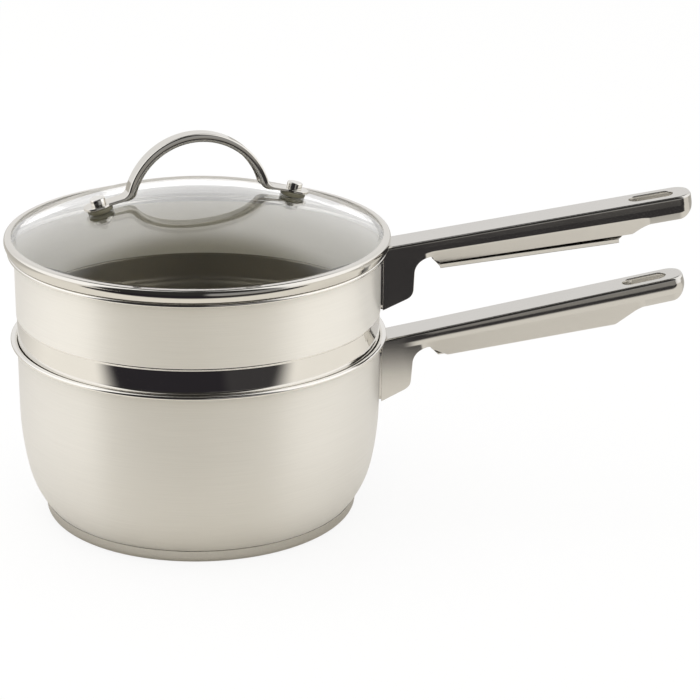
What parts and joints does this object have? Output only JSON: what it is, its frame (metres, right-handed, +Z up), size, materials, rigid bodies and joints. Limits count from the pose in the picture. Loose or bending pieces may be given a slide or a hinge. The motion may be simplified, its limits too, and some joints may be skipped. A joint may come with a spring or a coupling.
{
  "type": "double boiler",
  "caption": "Stovetop double boiler: a saucepan with a nesting upper pan, long hollow steel handles, and a domed glass lid with an arched handle.",
  "frame": {"origin": "on the pans' axis, in the plane of the base that stands on the hob", "axes": "+X from the pans' axis towards both pan handles, +Y to the side away from the picture's view, +Z up"},
  "size_m": [0.3385, 0.1894, 0.1922],
  "materials": {
    "pan_steel": "satin outside, brushed in rings inside",
    "polished_steel": "mirror-polished stainless steel",
    "base_aluminium": "plain, enclosed in the base",
    "lid_glass": "clear toughened glass",
    "seal_rubber": "matt silicone"
  },
  "bodies": {
    "lower_pan": {"lower_pan_body": "pan_steel", "base_core": "base_aluminium", "base_cap": "pan_steel", "lower_handle_shell": "polished_steel", "lower_handle_weld_plate": "polished_steel"},
    "upper_pan": {"upper_pan_body": "pan_steel", "upper_handle_shell": "polished_steel", "upper_handle_weld_plate": "polished_steel"},
    "lid": {"lid_glass": "lid_glass", "lid_rim_band": "polished_steel", "lid_handle": "polished_steel", "lid_cap_nut_left": "polished_steel", "lid_upper_seal_left": "seal_rubber", "lid_lower_seal_left": "seal_rubber", "lid_washer_left": "polished_steel", "lid_screw_left": "polished_steel", "lid_cap_nut_right": "polished_steel", "lid_upper_seal_right": "seal_rubber", "lid_lower_seal_right": "seal_rubber", "lid_washer_right": "polished_steel", "lid_screw_right": "polished_steel"}
  },
  "joints": [
    {"name": "upper_pan_lift", "type": "slide", "parent": "lower_pan", "child": "upper_pan", "axis": [0, 0, 1], "range_m": [0, 0.06]},
    {"name": "lid_lift", "type": "slide", "parent": "upper_pan", "child": "lid", "axis": [0, 0, 1], "range_m": [0, 0.05]}
  ]
}
